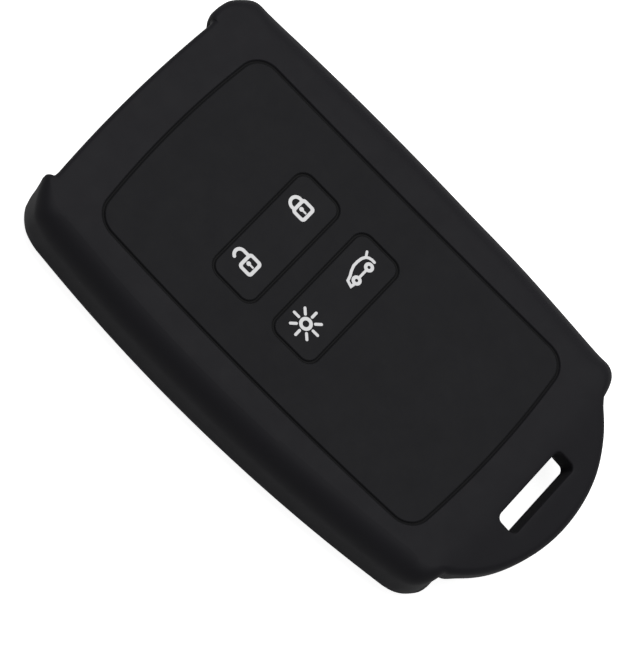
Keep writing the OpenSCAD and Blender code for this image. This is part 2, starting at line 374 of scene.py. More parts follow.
class Skin:
    """Collects faces in millimetres; the points weld when the mesh is made."""

    def __init__(self):
        self.points = []
        self.faces = []
        self.count = 0

    def add(self, points, faces):
        points = np.asarray(points, float)
        self.points.append(points)
        self.faces += [tuple(i + self.count for i in f) for f in faces]
        self.count += len(points)

    def strip(self, rows, loop=False, both=False):
        """A grid between rows of points, closed round where loop is true, and mirrored over X for both."""
        rows = np.array(rows, float)
        r, c = rows.shape[:2]
        faces = []
        for i in range(r - 1):
            for j in range(c if loop else c - 1):
                k = (j + 1) % c
                faces.append((i * c + j, i * c + k, (i + 1) * c + k, (i + 1) * c + j))
        self.add(rows.reshape(-1, 3), faces)
        if both:
            self.add(rows.reshape(-1, 3) * [-1, 1, 1], [f[::-1] for f in faces])

    def mirrored_ngon(self, points):
        """One face, and the same face mirrored over X."""
        face = tuple(range(len(points)))
        self.add(points, [face])
        self.add(np.asarray(points) * [-1, 1, 1], [face[::-1]])

    def field(self, loops, height, step=None, where=None):
        """Triangles between the first loop and the others, at height(x, y), with a finer grid where asked."""
        loops = [np.asarray(loop, float) for loop in loops]
        flat = [loop[:, :2] for loop in loops]
        points = np.concatenate(flat)
        if step:
            points = add_points(points, flat, step, where)
        corners, faces, middles = triangulate(points, loops)
        ok = inside_only(middles, flat[0], flat[1:])
        known = {spot(p): p[2] for loop in loops for p in loop if len(p) == 3}
        z = height(corners[:, 0], corners[:, 1])
        for i, p in enumerate(corners):
            z[i] = known.get(spot(p), z[i])
        self.add(np.column_stack([corners, z]), [tuple(f) for f, k in zip(faces, ok) if k])

    def make(self, name, material, weld=.004, close=False, shape=None):
        """The object: shaped and settled, with the groove shade, welded, and in metres."""
        sharp_angle = math.radians(38)
        points = np.concatenate(self.points)
        if shape:
            points = shape(points)
        mesh = bpy.data.meshes.new(name)
        mesh.from_pydata([tuple(p) for p in settle(points)], [], self.faces)
        # the shade attribute carries painted shade: how much the colour darkens on the grooves' floors
        shade = mesh.attributes.new("shade", "FLOAT", "POINT")
        shade.data.foreach_set("value", groove_shade(points).astype(np.float32))
        bm = bmesh.new()
        bm.from_mesh(mesh)
        bmesh.ops.remove_doubles(bm, verts=bm.verts, dist=weld)
        bmesh.ops.dissolve_degenerate(bm, edges=bm.edges, dist=weld / 4)
        if close:
            bmesh.ops.holes_fill(bm, edges=[e for e in bm.edges if e.is_boundary], sides=0)
        bmesh.ops.recalc_face_normals(bm, faces=bm.faces)
        for face in bm.faces:
            face.smooth = True
        bm.to_mesh(mesh)
        open_edges = sum(len(e.link_faces) != 2 for e in bm.edges)
        bm.free()
        print("skin", name, len(mesh.vertices), "points,", open_edges, "open edges")
        mesh.transform(Matrix.Scale(MM, 4))
        mesh.set_sharp_from_angle(angle=sharp_angle)
        mesh.materials.append(material)
        obj = bpy.data.objects.new(name, mesh)
        bpy.context.scene.collection.objects.link(obj)
        return obj


# Materials
def node(tree, kind, inputs, **settings):
    """Adds a node and feeds its inputs with plain values or with outputs of other nodes."""
    new = tree.nodes.new(kind)
    for key, value in settings.items():
        setattr(new, key, value)
    for key, value in inputs.items():
        if isinstance(value, bpy.types.NodeSocket):
            tree.links.new(value, new.inputs[key])
        else:
            new.inputs[key].default_value = value
    return new


def multiply(tree, a, b):
    return node(tree, "ShaderNodeMath", {0: a, 1: b}, operation="MULTIPLY").outputs[0]


def mix_colours(tree, share, a, b):
    return node(tree, "ShaderNodeMix", {0: share, 6: a, 7: b}, data_type="RGBA").outputs[2]


def noise(tree, place, scale, detail, roughness):
    inputs = {"Vector": place, "Scale": scale, "Detail": detail, "Roughness": roughness}
    return node(tree, "ShaderNodeTexNoise", inputs).outputs["Fac"]


def slow_tones(tree, place, colour):
    """The colour, changing slowly between a darker and a lighter tone."""
    darker, lighter = .9, 1.12
    cloud = noise(tree, place, scale=55., detail=4., roughness=.55)
    return mix_colours(tree, cloud, (*[c * darker for c in colour], 1), (*[c * lighter for c in colour], 1))


def shaded_grooves(tree, colour, groove):
    """The colour with painted shade: darkened where the mesh's shade attribute marks a groove's floor."""
    painted_shade_colour = (.001, .001, .001, 1)
    shade = node(tree, "ShaderNodeAttribute", {}, attribute_name="shade").outputs["Fac"]
    return mix_colours(tree, multiply(tree, shade, groove), colour, painted_shade_colour)


def dusted(tree, place, colour, dust):
    """The colour with specks of dust: the middles of a few cells only."""
    dust_colour = (.35, .35, .34, 1)
    cell_scale, speck_edge, speck_core, fewness, strength = 420., .05, .02, .985, .25
    cells = node(tree, "ShaderNodeTexVoronoi", {"Vector": place, "Scale": cell_scale})
    reach = {"From Min": speck_edge, "From Max": speck_core, "Value": cells.outputs["Distance"]}
    core = node(tree, "ShaderNodeMapRange", reach).outputs[0]
    by_cell = node(tree, "ShaderNodeSeparateColor", {0: cells.outputs["Color"]}).outputs[0]
    pick = node(tree, "ShaderNodeMath", {0: by_cell, 1: fewness}, operation="GREATER_THAN").outputs[0]
    share = multiply(tree, multiply(tree, core, pick), strength * dust)
    return mix_colours(tree, share, colour, dust_colour)


def handled_gloss(tree, place, rough):
    """Roughness with light handling marks."""
    less, more = .06, .08
    smear = noise(tree, place, scale=210., detail=3., roughness=.7)
    inputs = {"To Min": rough - less, "To Max": rough + more, "Value": smear}
    return node(tree, "ShaderNodeMapRange", inputs).outputs[0]


def eroded_grain(tree, place, grain):
    """The moulded surface's fine grain, as a bump."""
    strength, distance = .22, .00004
    fine = noise(tree, place, scale=5200., detail=2., roughness=.6)
    inputs = {"Strength": strength * grain, "Distance": distance, "Height": fine}
    return node(tree, "ShaderNodeBump", inputs).outputs[0]


def rubber(name, colour, rough, level, grain=1., dust=1., groove=.7):
    """Moulded matt silicone: a fine eroded grain, slow changes of tone, handling marks, a little dust, and
    painted shade on the grooves' floors, whose strength is groove.
    """
    sheen, sheen_rough = .02, .5
    mat = bpy.data.materials.new(name)
    mat.use_nodes = True
    tree = mat.node_tree
    surface = tree.nodes["Principled BSDF"]
    surface.inputs["Specular IOR Level"].default_value = level
    surface.inputs["Sheen Weight"].default_value = sheen
    surface.inputs["Sheen Roughness"].default_value = sheen_rough
    place = node(tree, "ShaderNodeTexCoord", {}).outputs["Object"]
    # the base colour carries painted shade on the grooves' floors, and real dust
    base = dusted(tree, place, shaded_grooves(tree, slow_tones(tree, place, colour), groove), dust)
    tree.links.new(base, surface.inputs["Base Color"])
    tree.links.new(handled_gloss(tree, place, rough), surface.inputs["Roughness"])
    tree.links.new(eroded_grain(tree, place, grain), surface.inputs["Normal"])
    return mat


def linear(*levels):
    """Linear colour from levels of 0 to 255 in a picture."""
    return tuple((c / 255 / 12.92) if c <= 10 else ((c / 255 + .055) / 1.055) ** 2.4 for c in levels)


sleeve_rubber = rubber("sleeve_rubber", linear(24.5, 24, 27.5), rough=.60, level=.13)
panel_rubber = rubber("panel_rubber", linear(25.5, 25.5, 28), rough=.66, level=.12)
key_rubber = rubber("key_rubber", linear(25.5, 25.5, 28), rough=.64, level=.12)
mark_ink = rubber("mark_ink", linear(225, 225, 226), rough=.5, level=.3, grain=.6, dust=0., groove=0.)

# Outline of the sleeve and its tab, which meets the body on the corner's arc
END_R = arc_radius(HALF_W, END_BOW)
SIDE_R = arc_radius(HALF_L, SIDE_BOW)
MOUTH_R = arc_radius(MOUTH_X, MOUTH_BOW)
LOW_CX, LOW_CY = corner_centre(HALF_W, HALF_L + WIDEST_SHIFT, SIDE_R, END_R, TAB_CORNER_R)
HIGH_CX, HIGH_CY = corner_centre(HALF_W, HALF_L - WIDEST_SHIFT, SIDE_R, END_R, CORNER_R)
WIDEST_Y = BODY_Y + WIDEST_SHIFT
PLATE_X = MOUTH_X - NOTCH_R
TAB_CENTRE_Y = TIP_Y + TAB_R * math.cos(TILT)
TAB_MEET_Y = WIDEST_Y - LOW_CY - arc_height(TAB_X - LOW_CX, TAB_CORNER_R)
TAB_PINCH = TAB_MEET_Y - TAB_CENTRE_Y + math.cos(TILT) * arc_height(TAB_X, TAB_R)
FINE_BELOW_Y = -36.5


def drop(x, y):
    """How far the front face has sloped down at the tab, with a soft bend at its root."""
    fade_x, fade_w = 20.0, 3.0
    slope = math.tan(TILT) * ROOT_SOFT * np.logaddexp(0, (ROOT_Y - y) / ROOT_SOFT)
    return slope * fall(np.abs(x), fade_x, fade_w)


def top_z(x, y):
    return T - drop(x, y)


def under_z(x, y):
    """Height of the plate's underside, and past the root that of the tab's."""
    below, over, reach = 38.1, 1.0, .02
    tab = rise(-y, below, over) * (np.abs(x) < TAB_X + reach)
    return PLATE_Z * (1 - tab) + (T - drop(x, y) - TAB_T) * tab


def tab_y(x):
    """The tab's edge: an arc that draws in a little towards the body."""
    return TAB_CENTRE_Y - math.cos(TILT) * arc_height(x, TAB_R) + TAB_PINCH * (x / TAB_X) ** 4


def end_y(x):
    return BODY_Y + HALF_L - END_R + arc_height(x, END_R)


def plate_edge_y(x):
    return BODY_Y + HALF_L - MOUTH_INSET - MOUTH_R + arc_height(x, MOUTH_R)


def near_tab(points):
    return points[:, 1] < FINE_BELOW_Y


def mouth_xs():
    """Where the plain end has its points: close together on an ear's nose and on the notch's fillet."""
    nose_start, nose_n, notch_n, plate_n = .3, 8, 7, 20
    nose = [MOUTH_X + NOSE_W * (1 - math.sin(q)) for q in np.linspace(nose_start, math.pi / 2, nose_n)]
    notch = list(np.linspace(MOUTH_X, PLATE_X, notch_n))[1:]
    plate = list(np.linspace(PLATE_X, 0, plate_n))[1:]
    return nose + notch + plate


def body_half():
    """Right half of the body's outline, from the low end's middle to the high end's middle."""
    side_n, corner_n, tab_n = 34, 20, 24
    low_l, high_l = HALF_L + WIDEST_SHIFT, HALF_L - WIDEST_SHIFT
    tab_xs = np.linspace(TAB_X, 0, tab_n)
    low = quarter(HALF_W, low_l, SIDE_R, END_BOW, TAB_CORNER_R, side_n, corner_n, tab_xs, TAB_X)
    high = quarter(HALF_W, high_l, SIDE_R, END_BOW, CORNER_R, side_n, corner_n, mouth_xs())
    points = np.concatenate([low.points[::-1][:-1] * [1, -1], high.points])
    normals = np.concatenate([low.normals[::-1][:-1] * [1, -1], high.normals])
    return Path(points + [0, WIDEST_Y], normals, np.concatenate([low.kind[::-1][:-1], high.kind]))


def lip_half():
    """The back lip's path, and the indices on it between which the side wall stands."""
    upper_half, below_one = 40, .999
    lip = body_half()
    x, y = lip.points.T
    first = int(np.argmin(np.hypot(x - TAB_X, y - TAB_MEET_Y)))
    last = int(np.argmin(np.hypot(x - MOUTH_X, y - end_y(MOUTH_X))))
    wall, mouth = slice(0, last + 1), slice(last + 1, None)
    # each ear rounds in towards the mouth
    nose = np.clip((MOUTH_X + NOSE_W - x[wall]) / NOSE_W, 0, 1) * (y[wall] > upper_half)
    y[wall] -= (y[last] - plate_edge_y(MOUTH_X) - NOSE_GAP) * (1 - np.sqrt(1 - nose ** 2))
    # in the plain mouth the lip stands in a little, with the same small fillets as the front plate
    notch = np.clip((x[mouth] - PLATE_X) / NOTCH_R, 0, below_one)
    y[mouth] -= LIP_INSET - NOTCH_R * (1 - np.sqrt(1 - notch ** 2))
    lip.normals[first] = (0, -1)
    lip.normals[last] = (0, 1)
    lip.kind[[first, last]] = 1
    return lip, first, last


def tab_path():
    """Points and normals of the tab's edge from its tip to the body."""
    n, step = 40, .01
    x = TAB_R * np.sin(np.linspace(0, math.asin(TAB_X / TAB_R), n)[:-1])
    slope = tab_y(x + step) - tab_y(x - step)
    return np.stack([x, tab_y(x)], 1), unit_rows(np.stack([slope, np.full(len(x), -2 * step)], 1))


def panel_loop():
    """Points and normals of the middle of the groove round the panel."""
    side_n, corner_n = 40, 18
    side_r = arc_radius(PANEL_L, PANEL_SIDE_BOW)
    corner = quarter(PANEL_W, PANEL_L, side_r, PANEL_END_BOW, PANEL_R, side_n, corner_n)
    points, normals = closed(corner, corner)
    return points + [0, PANEL_Y], normals


LIP, FIRST, LAST = lip_half()
WALL = Path(*(part[FIRST:LAST + 1] for part in LIP))
EAR_Y = float(WALL.points[-1, 1])
TAB, TAB_NORMALS = tab_path()
GROOVE_LOOP, GROOVE_NORMALS = panel_loop()
# Radii along the side wall, from the wide roll of the side to the narrow one of the ears
END_SHARE = smooth(WALL.kind)
ROLL_TOP_R = ROLL_TOP + (ROLL_END - ROLL_TOP) * END_SHARE
ROLL_BACK_R = ROLL_BACK + (ROLL_END - ROLL_BACK) * END_SHARE
INNER_TOP_R = (ROLL_TOP - PLATE_T) * (1 - END_SHARE) + INNER_END_R * END_SHARE
INNER_BACK_R = (ROLL_BACK - WALL_T) * (1 - END_SHARE) + INNER_END_R * END_SHARE


# Parts of the sleeve; each gives the rows that its neighbours join
def mouth_edges():
    """The plate's edge in the plain mouth and the inner edge of its roll, with the roll's radii."""
    notch_n, plate_n = 9, 26
    centre_y = plate_edge_y(PLATE_X) + NOTCH_R
    start = math.asin(min(0., (EAR_Y - centre_y) / NOTCH_R))
    turn = np.linspace(start, -math.pi / 2, notch_n)[1:]
    notch = np.stack([PLATE_X + NOTCH_R * np.cos(turn), centre_y + NOTCH_R * np.sin(turn)], 1)
    share = np.clip((MOUTH_X - notch[:, 0]) / NOTCH_R, 0, 1)
    inner_y = (EAR_Y - ROLL_END) * (1 - share) + (plate_edge_y(PLATE_X) - MOUTH_ROLL) * share
    notch_inner = np.stack([notch[:, 0], inner_y], 1)
    xs = np.linspace(PLATE_X, 0, plate_n)[1:]
    plate = np.stack([xs, plate_edge_y(xs)], 1)
    radii = np.concatenate([ROLL_END + (MOUTH_ROLL - ROLL_END) * share, np.full(len(plate), MOUTH_ROLL)])
    return np.concatenate([notch, plate]), np.concatenate([notch_inner, plate - [0, MOUTH_ROLL]]), radii


def front_roll(skin):
    """The rounding all round the front face: tab, side wall and mouth."""
    row_n = 15
    mouth, mouth_inner, mouth_r = mouth_edges()
    outer = np.concatenate([TAB, WALL.points, mouth])
    wall_inner = WALL.points - ROLL_TOP_R[:, None] * WALL.normals
    inner = np.concatenate([TAB - TAB_EDGE * TAB_NORMALS, wall_inner, mouth_inner])
    radii = np.concatenate([np.full(len(TAB), TAB_EDGE), ROLL_TOP_R, mouth_r])
    rows = []
    for q in np.linspace(0, math.pi / 2, row_n):
        xy = inner + (outer - inner) * math.sin(q)
        rows.append(lift(xy, top_z(*xy.T) - radii * (1 - math.cos(q))))
    skin.strip(rows, both=True)
    return rows


def groove_row(out, z):
    return lift(GROOVE_LOOP + GROOVE_NORMALS * out, z)


def ledge(skin):
    """The sleeve's side of the groove and the ledge under the panel."""
    rows = shoulder(GROOVE_LOOP, GROOVE_NORMALS, GROOVE, EDGE, T, DEPTH)
    rows += [groove_row(GROOVE, LEDGE_Z), groove_row(-LEDGE_W, LEDGE_Z), groove_row(-LEDGE_W, PLATE_Z)]
    skin.strip(rows, loop=True)
    return rows


def tab_slot(skin):
    """The slot through the tab, square to its slope."""
    corner_n, side_n, top_n, under_n = 9, 24, 6, 5
    points, normals = round_rect(SLOT_L / 2, SLOT_W / 2, SLOT_R, corner_n, side_n)
    squash = [1, math.cos(TILT)]
    top = points * squash + [0, SLOT_Y]
    under = top + [0, TAB_T * math.sin(TILT) * math.cos(TILT)]
    rows = fillet(top, -normals * squash, SLOT_EDGE, top_z, -1, rounding(top_n))
    rows += fillet(under, -normals * squash, SLOT_EDGE, under_z, 1, rounding(under_n)[::-1])
    skin.strip(rows, loop=True)
    return rows


def tab_edge(skin, roll):
    """The lower edge of the tab, which fades out towards the body."""
    row_n, fade_n = 7, 5.
    radii = np.append(TAB_EDGE * smooth(np.arange(len(TAB))[::-1] / fade_n), 0)
    points = np.concatenate([TAB, WALL.points[:1]])
    normals = np.concatenate([TAB_NORMALS, WALL.normals[:1]])
    rows = [roll[-1][:len(TAB) + 1]] + fillet(points, normals, radii, under_z, 1, rounding(row_n)[::-1])
    skin.strip(rows, both=True)
    return rows


def mouth_edge(skin, roll):
    """The lower edge of the plate in the plain mouth."""
    row_n, fade_n = 5, 9.
    start = len(TAB) + len(WALL.points) - 1
    points = roll[-1][start:, :2]
    normals = unit_rows(points - roll[0][start:, :2])
    radii = MOUTH_EDGE * smooth(np.arange(len(points)) / fade_n)
    rows = [roll[-1][start:]] + fillet(points, normals, radii, PLATE_Z, 1, rounding(row_n)[::-1])
    skin.strip(rows, both=True)
    return rows


def side_walls(skin, roll, tab_rows):
    """The outer walls; at the ears' ends the levels between become the heights of the mouth."""
    level_n, blend_w = 9, 7
    top = roll[-1][len(TAB):len(TAB) + len(WALL.points), 2]
    along = np.concatenate([[0], np.cumsum(np.hypot(*np.diff(WALL.points, axis=0).T))])
    ends = ((fall(along, 0, blend_w), tab_rows[-1][-1][2]), (fall(along[-1] - along, 0, blend_w), PLATE_Z))
    rows = []
    for i in range(level_n):
        z = top + (ROLL_BACK_R - top) * i / (level_n - 1)
        if 0 < i < level_n - 1:
            for share, mouth_z in ends:
                ear_z = mouth_z + (LIP_T - mouth_z) * (i - 1) / (level_n - 3)
                z = z * (1 - share) + ear_z * share
        rows.append(lift(WALL.points, z))
    skin.strip(rows, both=True)
    return rows


def back_roll(skin):
    """The rounding all round the back, and the lip's front edge in the two mouths."""
    row_n, edge_n, blend_n, fade_n = 12, 4, 6, 4.
    radii = np.full(len(LIP.points), MOUTH_ROLL)
    radii[FIRST:LAST + 1] = ROLL_BACK_R
    for j in range(blend_n):
        for i in (FIRST - 1 - j, LAST + 1 + j):
            radii[i] = ROLL_END + (MOUTH_ROLL - ROLL_END) * smooth((j + 1) / blend_n)
    rows = fillet(LIP.points, LIP.normals, radii, 0, 1, rounding(row_n))
    skin.strip(rows, both=True)
    lips = []
    for part, step in ((slice(0, FIRST + 1), -1), (slice(LAST, None), 1)):
        points, normals = LIP.points[part], LIP.normals[part]
        edge_r = LIP_EDGE * smooth(np.arange(len(points))[::step] / fade_n)
        edge = fillet(points, normals, edge_r, LIP_T, -1, rounding(edge_n)[::-1])
        skin.strip([lift(points, radii[part])] + edge, both=True)
        lips.append(edge[-1])
    return rows, lips


def inner_walls(skin):
    """The walls of the cavity, from the ceiling to the floor."""
    top_n, floor_n, middle_shares = 8, 7, (.33, .67)
    rows = fillet(WALL.points, WALL.normals, INNER_TOP_R, PLATE_Z, -1, rounding(top_n), WALL_T)
    for share in middle_shares:
        z = (PLATE_Z - INNER_TOP_R) * (1 - share) + (LIP_T + INNER_BACK_R) * share
        rows.append(lift(WALL.points - WALL.normals * WALL_T, z))
    rows += fillet(WALL.points, WALL.normals, INNER_BACK_R, LIP_T, 1, rounding(floor_n)[::-1], WALL_T)
    skin.strip(rows, both=True)
    return rows


def ear_ends(skin, inner, wall):
    """The ears' end faces, which look into the two mouths."""
    line_n = 8
    line_y = np.linspace(inner[0][0][1], WALL.points[0][1], line_n)[1:-1]
    line_x = np.full(len(line_y), TAB_X)
    tab_line = np.column_stack([line_x, line_y, under_z(line_x, line_y)])
    inner_low = np.array([row[0] for row in inner])
    inner_low[:, 0] = TAB_X
    outer_low = np.array([row[0] for row in wall[1:-1]])
    skin.mirrored_ngon(np.concatenate([inner_low[::-1], tab_line, outer_low]))
    inner_high = np.array([row[-1] for row in inner])
    outer_high = np.array([row[-1] for row in wall[1:-1]])
    skin.mirrored_ngon(np.concatenate([inner_high[::-1], outer_high]))
    return tab_line


def window(skin):
    """The window's edge in the back, rounded on both faces."""
    side_n, corner_n, row_n = 40, 14, 6
    half_w, half_l = HALF_W - LIP_SIDE_W, HALF_L - LIP_END_W
    side_r = arc_radius(half_l, SIDE_BOW)
    high = quarter(half_w, half_l - WIDEST_SHIFT, side_r, END_BOW, WINDOW_R, side_n, corner_n)
    low = quarter(half_w, half_l + WIDEST_SHIFT, side_r, END_BOW, WINDOW_R, side_n, corner_n)
    points, normals = closed(high, low)
    points = points + [0, WIDEST_Y]
    rows = fillet(points, -normals, WINDOW_EDGE, 0, 1, rounding(row_n))
    rows += fillet(points, -normals, WINDOW_EDGE, LIP_T, -1, rounding(row_n)[::-1])
    skin.strip(rows, loop=True)
    return rows


# How far the soft corners stand out by the angle round them, in degrees from the long side to the end
EAR_HIGH = (
    (0, 11, 18, 25, 32, 39, 46, 53, 67, 74, 81, 90),
    (0, 0, .08, .35, .7, .68, .52, .42, .42, .22, .05, 0),
)
EAR_LOW = (
    (0, 15, 20, 27, 34, 41, 47, 54, 61, 68, 75, 92, 104, 115, 125),
    (0, 0, .05, .35, .45, .45, .35, .15, -.08, -.28, -.4, -.4, -.2, -.05, 0),
)
# Angles and weights that even out the swell
SWELL_SPREAD = ((-6, 1), (-3, 2), (0, 3), (3, 2), (6, 1))
# Sizes of the warps, and where each comes in or fades, as a start and a length
SWELL_Z = (1, 5)
HIGH_REACH = (4, 3)
LOW_REACH = (3, 2.6)
FACE_TURNS = ((64, 82, 97, 103), (0, 1, 1, 0))
FACE_Z = (2, 7)
FACE_OUT = .55
FACE_IN = .32
LEAN = 1.3
LEAN_Z = (4.9, 6)
LEAN_Y = (44, 4)
EAR_FROM_X = (15, 3)
EAR_TO_X = (20, 4)
SIDE_OUT = .3
SIDE_Y = (0, 18)
SIDE_X = (23, 3)
NOTCH_X = (18.9, 5)
NOTCH_Y = (45.5, 2.5)
NOTCH_LEFT_BY_X = ((-19, 19), (2.2, .6))
TAB_LEFT = .3
TAB_MORE = .3
TAB_MORE_X = (9, 7)
TAB_FADE_X = (21.6, 4)
TAB_FADE_Y = (38.5, 2.5)


def swell(turn, table):
    total = sum(weight for _, weight in SWELL_SPREAD)
    return sum(weight * np.interp(turn + d, *table) for d, weight in SWELL_SPREAD) / total


def swell_corners(p):
    """The front of each corner swells, and the plain ears' end faces stand out more at the front."""
    tiny = 1e-9
    high = (HIGH_CX, WIDEST_Y + HIGH_CY, 1, EAR_HIGH, HIGH_REACH)
    low = (LOW_CX, WIDEST_Y - LOW_CY, -1, EAR_LOW, LOW_REACH)
    front = rise(p[:, 2], *SWELL_Z)
    for cx, cy, up, table, reach in (high, low):
        side = np.sign(p[:, 0])
        dx, dy = np.abs(p[:, 0]) - cx, up * (p[:, 1] - cy)
        r = np.hypot(dx, dy) + tiny
        turn = np.degrees(np.arctan2(dy, dx))
        out = swell(turn, table) * front
        if up > 0:
            out += np.interp(turn, *FACE_TURNS) * (FACE_OUT * rise(p[:, 2], *FACE_Z) - FACE_IN)
        out *= rise(r, *reach) / r
        p[:, 0] += side * dx * out
        p[:, 1] += up * dy * out


def soft_ends(points):
    """The sleeve's soft form: swollen corners, leaning ears, and ends that sit a little off centre."""
    p = points.copy()
    swell_corners(p)
    # under the plate the plain ears' ends lean back
    across = np.abs(p[:, 0])
    ears = rise(p[:, 1], *LEAN_Y) * rise(across, *EAR_FROM_X) * fall(across, *EAR_TO_X)
    p[:, 1] -= LEAN * ears * fall(p[:, 2], *LEAN_Z)
    # the +X side stands out a little towards the tab
    p[:, 0] += SIDE_OUT * rise(-p[:, 1], *SIDE_Y) * rise(p[:, 0], *SIDE_X)
    # the notch between the plain ears sits towards -X, and so does the tab
    notch = fall(np.abs(p[:, 0]), *NOTCH_X) * rise(p[:, 1], *NOTCH_Y)
    p[:, 0] -= np.interp(p[:, 0], *NOTCH_LEFT_BY_X) * notch
    across = np.abs(p[:, 0])
    tab = fall(across, *TAB_FADE_X) * rise(-p[:, 1], *TAB_FADE_Y)
    p[:, 0] -= (TAB_LEFT + TAB_MORE * rise(across, *TAB_MORE_X)) * tab
    return p


def sleeve_skin():
    """The sleeve with its tab as one continuous skin."""
    fine_step = 1.1
    skin = Skin()
    roll = front_roll(skin)
    groove = ledge(skin)
    slot = tab_slot(skin)
    skin.field([whole(roll[0]), groove[0], slot[0]], top_z, fine_step, near_tab)
    tab_rows = tab_edge(skin, roll)
    mouth_rows = mouth_edge(skin, roll)
    wall_rows = side_walls(skin, roll, tab_rows)
    back, (lip_low, lip_high) = back_roll(skin)
    inner = inner_walls(skin)
    tab_line = ear_ends(skin, inner, wall_rows)
    ceiling = np.concatenate([tab_rows[-1], tab_line[::-1], inner[0], mouth_rows[-1]])
    skin.field([whole(ceiling), groove[-1], slot[-1]], under_z, fine_step, near_tab)
    opening = window(skin)
    cavity_floor = np.concatenate([lip_low, inner[-1], lip_high])
    skin.field([whole(cavity_floor), opening[-1]], level(LIP_T))
    skin.field([whole(back[0]), opening[0]], level(0.))
    return skin.make("sleeve_skin", sleeve_rubber, close=True, shape=soft_ends)


sleeve = sleeve_skin()
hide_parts("sleeve", "lanyard_tab")
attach(sleeve, "cover")


# The front panel
def panel_skin():
    """The panel with its side of the groove and an opening for each pair of keys."""
    corner_n, side_n, slack = 12, 16, .02
    under_z, under_out = LEDGE_Z + slack, slack - LEDGE_W
    skin = Skin()
    edge = shoulder(GROOVE_LOOP, -GROOVE_NORMALS, GROOVE, EDGE, T, DEPTH)
    edge += [groove_row(GROOVE + slack, T - DEPTH), groove_row(GROOVE + slack, under_z)]
    edge += [groove_row(under_out, under_z), groove_row(under_out, PLATE_Z)]
    skin.strip(edge, loop=True)
    hole, normals = round_rect(PAD_W + KEY_GROOVE, PAD_L + KEY_GROOVE, PAD_R + KEY_GROOVE, corner_n, side_n)
    holes = []
    for y in PAD_Y:
        rows = shoulder(hole + [0, y], normals, 0, KEY_EDGE, T, KEY_DEPTH)
        rows.append(lift(hole + [0, y], PLATE_Z))
        skin.strip(rows, loop=True)
        holes.append(rows)
    skin.field([edge[0]] + [rows[0] for rows in holes], level(T))
    skin.field([edge[-1]] + [rows[-1] for rows in holes], level(PLATE_Z))
    return skin.make("panel_skin", panel_rubber)


panel = panel_skin()
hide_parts("front_panel")
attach(panel, "cover")


# The keys, each half of a pad with its web
def half_path(half_w, half_l, r, side):
    """Open path round half a pad from (0, -half_l) to (0, half_l), with normals; side is the sign of X."""
    straight_n, corner_n = 18, 11
    xs = np.linspace(0, half_w - r, straight_n)
    points = [(x, -half_l) for x in xs]
    normals = [(0, -1)] * len(xs)
    for cy, start in ((r - half_l, -math.pi / 2), (half_l - r, 0)):
        for turn in np.linspace(start, start + math.pi / 2, corner_n)[(1 if start else 0):]:
            points.append((half_w - r + r * math.cos(turn), cy + r * math.sin(turn)))
            normals.append((math.cos(turn), math.sin(turn)))
    points += [(x, half_l) for x in xs[::-1][1:]]
    normals += [(0, 1)] * (len(xs) - 1)
    return np.array(points) * [side, 1], np.array(normals) * [side, 1]


def middle_line(start_y, end_y, z):
    """Points on the middle plane between two places, without the two ends."""
    n = 11
    ys = np.linspace(start_y, end_y, n)[1:-1]
    return lift(np.stack([np.zeros(len(ys)), ys], 1), z)


def key_nub(skin, side, y):
    """The nub under a key."""
    ring_n, edge_n = 40, 4
    ring = circle(0, 0, 1, ring_n)
    foot = ring * NUB_R + [side * KEY_X, y]
    rows = [lift(foot, PLATE_Z)] + fillet(foot, ring, NUB_EDGE, PLATE_Z - NUB_H, 1, rounding(edge_n)[::-1])
    skin.strip(rows, loop=True)
    return rows


def key_skin(name, side, y, key_node, web_node):
    """A key with its web and nub; the web stretches between the key and the cover."""
    slack, top_step, under_step, carried_x = .02, .8, .9, 2.6
    web_shares, under_shares = (.35, .7, 1), (1, .66, .33, 0)
    skin = Skin()
    inner, normals = half_path(PAD_W - KEY_GROOVE, PAD_L - KEY_GROOVE, PAD_R - KEY_GROOVE, side)
    reach = KEY_GROOVE + slack
    outer, _ = half_path(PAD_W + reach, PAD_L + reach, PAD_R + reach, side)
    inner = inner + [0, y]
    outer = outer + [0, y]
    rows = shoulder(inner, -normals, 0, KEY_EDGE, KEY_TOP, KEY_DEPTH - (T - KEY_TOP))
    top = rows[0]
    rows += [lift(inner + (outer - inner) * share, T - KEY_DEPTH) for share in web_shares]
    rows += [lift(inner + (outer - inner) * share, WEB_Z) for share in under_shares]
    foot = lift(inner, PLATE_Z)
    skin.strip(rows + [foot])
    middle_top = middle_line(top[-1][1], top[0][1], KEY_TOP)
    middle_foot = middle_line(foot[-1][1], foot[0][1], PLATE_Z)
    skin.field([np.concatenate([top, middle_top])], level(KEY_TOP), top_step)
    nub = key_nub(skin, side, y)
    skin.field([np.concatenate([foot, middle_foot]), nub[0]], level(PLATE_Z), under_step)
    skin.field([nub[-1]], level(PLATE_Z - NUB_H))
    obj = skin.make(name, key_rubber, close=True)
    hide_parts(key_node, web_node)
    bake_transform(obj)


# A key's word, the sign of its X and its row
KEYS = (("lock", 1, 0), ("unlock", -1, 0), ("boot", 1, 1), ("light", -1, 1))
for word, side, row in KEYS:
    key_skin(word + "_key_skin", side, PAD_Y[row], word + "_key", word + "_web")


# The printed signs, with places from the middle of a row of keys
INK_W = .6


def chain(points, width=INK_W):
    """Outline of a stroke with round ends along the points."""
    cap_n, least_cut = 9, .6
    p = np.array(points, float)
    along = unit_rows(np.diff(p, axis=0))
    turn = unit_rows(np.concatenate([along[:1], along[:-1] + along[1:], along[-1:]]))
    mitre = np.ones(len(p))
    mitre[1:-1] = 1 / np.maximum((turn[1:-1] * along[:-1]).sum(1), least_cut)
    side = np.stack([-turn[:, 1], turn[:, 0]], 1) * mitre[:, None] * width / 2
    caps = []
    for centre, ahead in ((p[-1], turn[-1]), (p[0], -turn[0])):
        base = math.atan2(ahead[1], ahead[0])
        angles = base + np.linspace(-math.pi / 2, math.pi / 2, cap_n)[1:-1]
        caps.append(centre + width / 2 * np.stack([np.cos(angles), np.sin(angles)], 1))
    return np.concatenate([p - side, caps[0], (p + side)[::-1], caps[1]])


